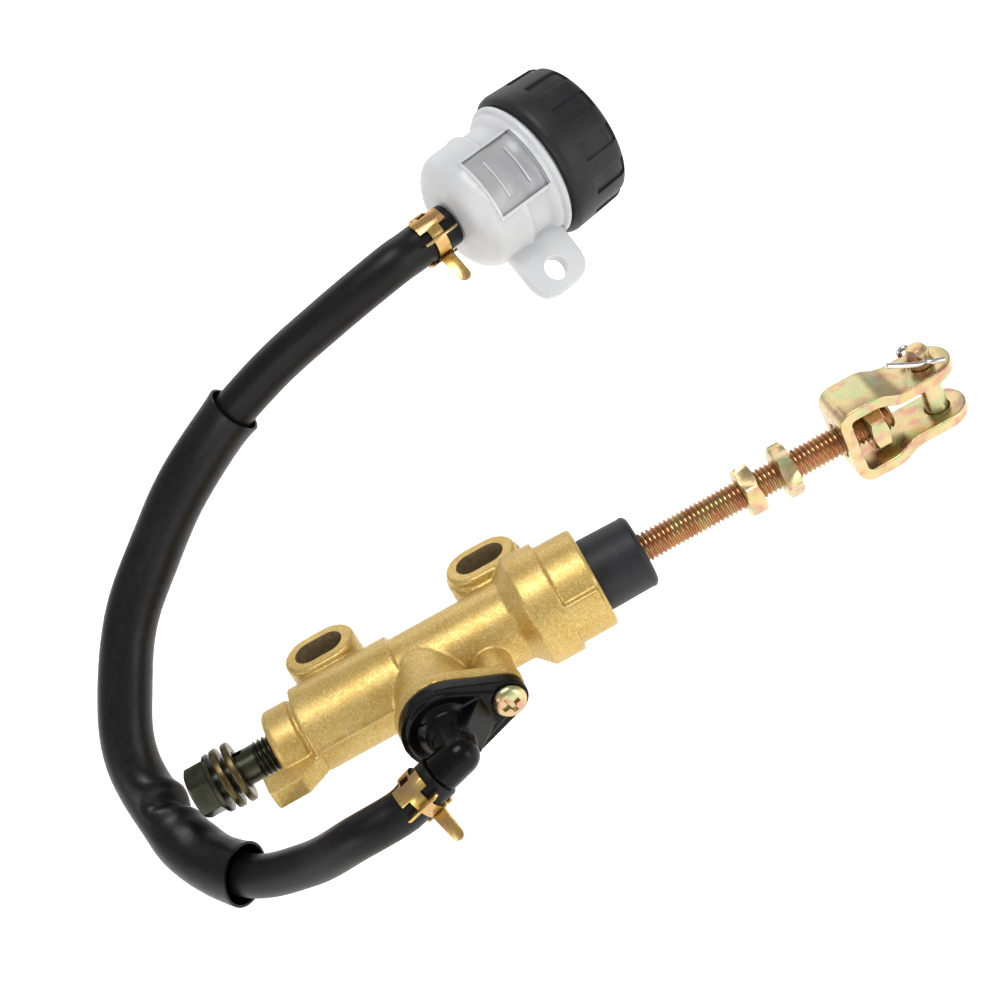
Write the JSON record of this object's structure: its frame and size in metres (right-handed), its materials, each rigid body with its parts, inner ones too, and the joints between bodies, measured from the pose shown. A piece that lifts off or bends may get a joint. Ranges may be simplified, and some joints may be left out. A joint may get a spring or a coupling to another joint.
{
  "type": "motorcycle rear brake master cylinder",
  "caption": "Rear brake master cylinder with slotted lugs, push rod and clevis, banjo bolt, and a remote reservoir on a clamped rubber hose.",
  "frame": {"origin": "on the bore's axis, midway between the two slotted lugs, where the frame bolts hold the casting", "axes": "+X along the bore towards the clevis, +Z along the frame bolts out of the lugs' machined faces, -Y out of the inlet port"},
  "size_m": [0.2373, 0.1225, 0.1286],
  "materials": {
    "gold_paint": "metallic flake paint, fine sparkle",
    "gloss_black_plastic": "gloss moulded",
    "cap_plastic": "satin moulded",
    "cup_plastic": "milky translucent",
    "white_plastic": "satin",
    "black_rubber": "satin",
    "boot_rubber": "matte with fine dust",
    "soft_sleeve": "soft satin",
    "yellow_zinc": "iridescent yellow zinc",
    "copper_zinc": "copper coloured zinc",
    "dark_steel": "black zinc, semi gloss",
    "bronze_washer": "dull bronze",
    "bright_steel": "plain steel",
    "aluminium": "machined"
  },
  "bodies": {
    "body": {"cylinder_casting": "gold_paint", "inlet_elbow": "gloss_black_plastic", "elbow_screw": "yellow_zinc", "elbow_o_ring": "black_rubber", "return_spring": "bright_steel", "stop_washer": "bright_steel", "circlip": "bright_steel", "dust_boot": "boot_rubber", "supply_hose": "black_rubber", "hose_sleeve": "soft_sleeve", "lower_hose_clamp": "yellow_zinc", "upper_hose_clamp": "yellow_zinc", "reservoir_cup": "cup_plastic", "diaphragm": "black_rubber"},
    "piston_group": {"piston": "aluminium", "primary_cup": "black_rubber", "secondary_cup": "black_rubber"},
    "rod": {"push_rod": "copper_zinc"},
    "inner_nut": {"lock_nut_inner": "yellow_zinc"},
    "outer_nut": {"lock_nut_outer": "yellow_zinc"},
    "clevis_seat": {"clevis_nut": "yellow_zinc"},
    "clevis": {"clevis": "yellow_zinc"},
    "pin": {"clevis_pin": "yellow_zinc", "cotter_pin": "bright_steel"},
    "cap_lift": {"diaphragm_plate": "white_plastic"},
    "cap": {"reservoir_cap": "cap_plastic"},
    "bolt_travel": {"outer_sealing_washer": "bronze_washer"},
    "bolt": {"banjo_bolt": "dark_steel"},
    "inner_washer": {"inner_sealing_washer": "bronze_washer"}
  },
  "joints": [
    {"name": "piston_stroke", "type": "slide", "parent": "body", "child": "piston_group", "axis": [-1, 0, 0], "range_m": [0, 0.01], "stiffness_N_per_m": 900, "springref_m": -0.012, "deforming": ["return_spring"]},
    {"name": "push_rod_tilt", "type": "hinge", "parent": "piston_group", "child": "rod", "pos_m": [0.0312, 0, 0], "axis": [0, 0, 1], "range_deg": [-1.5, 1.5], "deforming": ["dust_boot"]},
    {"name": "inner_nut_travel", "type": "slide", "parent": "rod", "child": "inner_nut", "axis": [1, 0, 0], "range_m": [-0.015, 0.005]},
    {"name": "outer_nut_travel", "type": "slide", "parent": "rod", "child": "outer_nut", "axis": [1, 0, 0], "range_m": [0, 0.012]},
    {"name": "clevis_nut_travel", "type": "slide", "parent": "rod", "child": "clevis_seat", "axis": [1, 0, 0], "range_m": [0, 0.002]},
    {"name": "clevis_swivel", "type": "hinge", "parent": "clevis_seat", "child": "clevis", "pos_m": [0.1178, 0, 0], "axis": [1, 0, 0], "continuous": true},
    {"name": "clevis_pin_turn", "type": "hinge", "parent": "clevis", "child": "pin", "pos_m": [0.1426, 0, 0], "axis": [0, 0, 1], "range_deg": [-20, 20]},
    {"name": "cap_lift", "type": "slide", "parent": "body", "child": "cap_lift", "axis": [0.9435, 0.3302, -0.028], "range_m": [0, 0.006]},
    {"name": "cap_turn", "type": "hinge", "parent": "cap_lift", "child": "cap", "pos_m": [0.09032, 0.05696, 0.08122], "axis": [0.9435, 0.3302, -0.028], "range_deg": [0, 540]},
    {"name": "bolt_travel", "type": "slide", "parent": "body", "child": "bolt_travel", "axis": [1, 0, 0], "range_m": [0, 0.0075]},
    {"name": "bolt_turn", "type": "hinge", "parent": "bolt_travel", "child": "bolt", "pos_m": [-0.055, 0, 0], "axis": [1, 0, 0], "range_deg": [0, 2160]},
    {"name": "washer_slide", "type": "slide", "parent": "bolt_travel", "child": "inner_washer", "axis": [-1, 0, 0], "range_m": [-0.002, 0.0012]}
  ],
  "couplings": [
    {"joint": "cap_lift", "follows": "cap_turn", "m_per_rad": 0.00063662},
    {"joint": "bolt_travel", "follows": "bolt_turn", "m_per_rad": 0.00019894}
  ]
}
